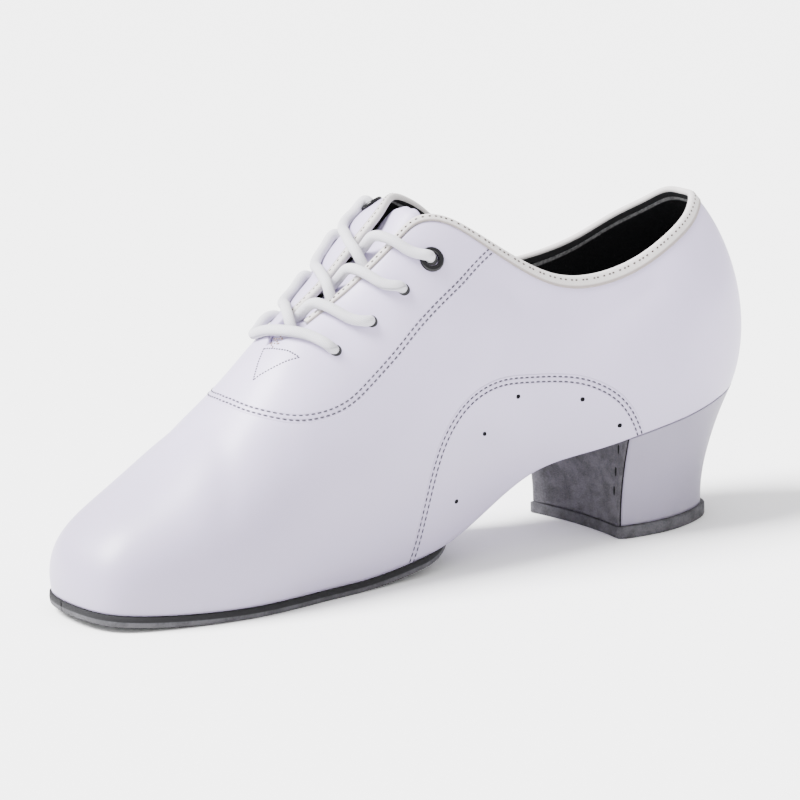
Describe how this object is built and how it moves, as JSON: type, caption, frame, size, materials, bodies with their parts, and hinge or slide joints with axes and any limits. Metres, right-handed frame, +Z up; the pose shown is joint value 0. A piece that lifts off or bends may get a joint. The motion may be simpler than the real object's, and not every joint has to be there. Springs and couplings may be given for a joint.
{
  "type": "ballroom dance shoe",
  "caption": "Right-foot lace-up leather dance shoe with a Cuban heel, split suede sole, bound collar, tongue, eyelets and crossed lace.",
  "frame": {"origin": "centre of the bounding box on the floor", "axes": "+Z up, +Y from the toe to the heel, +X from the lateral to the medial side"},
  "size_m": [0.0841, 0.2844, 0.1333],
  "materials": {
    "white_leather": "smooth, satin",
    "grey_suede": "napped suede",
    "cream_ribbon": "folded ribbon, matt",
    "black_sock": "matt sock lining",
    "white_cord": "round woven cord",
    "black_enamel": "gloss enamel"
  },
  "bodies": {
    "root": {"upper": "white_leather", "tongue": "white_leather", "waist_cover": "white_leather", "heel_block": "white_leather", "heel_breast_cover": "grey_suede", "heel_lift": "grey_suede", "outsole": "grey_suede", "insole": "black_sock", "collar_binding": "cream_ribbon", "eyelet_ring_medial": "black_enamel", "eyelet_ring_lateral": "black_enamel", "lace_bar_1": "white_cord", "lace_cross_2": "white_cord", "lace_cross_3": "white_cord", "lace_cross_4": "white_cord"}
  },
  "joints": []
}
